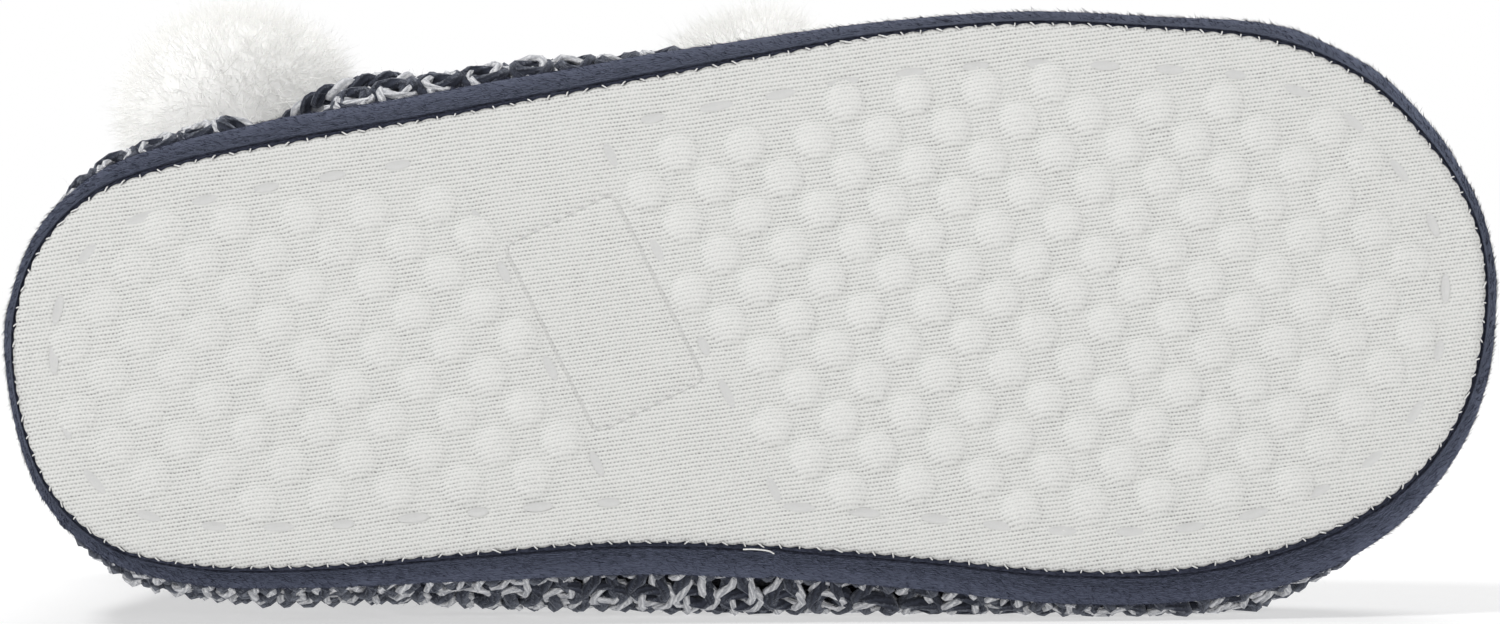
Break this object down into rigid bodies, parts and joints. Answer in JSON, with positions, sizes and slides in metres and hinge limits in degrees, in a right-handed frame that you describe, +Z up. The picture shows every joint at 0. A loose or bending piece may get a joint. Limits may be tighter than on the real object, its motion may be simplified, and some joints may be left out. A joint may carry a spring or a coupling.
{
  "type": "slipper boot",
  "caption": "Knitted slipper boot for the right foot with a domed textile sole, velour side band, slack shaft and pompoms on plaited cords, lying on its side.",
  "frame": {"origin": "on the floor, under the middle of the lying boot's box", "axes": "+X towards the toe, +Y from the sole towards the collar, +Z up, towards the lateral side"},
  "size_m": [0.2636, 0.1681, 0.1109],
  "materials": {
    "sole_fabric": "fine off-white knit, matt",
    "velour": "navy short-nap velour",
    "marled_knit": "chunky navy and white marled yarn",
    "footbed": "soft brushed textile",
    "pompom_fluff": "white fluffy pile",
    "plaited_cord": "navy and white plaited yarn"
  },
  "bodies": {
    "root": {"outsole": "sole_fabric", "side_band": "velour", "upper": "marled_knit", "insole": "footbed", "pompom_rear": "pompom_fluff", "pompom_front": "pompom_fluff", "cord_rear": "plaited_cord", "cord_front": "plaited_cord"}
  },
  "joints": []
}
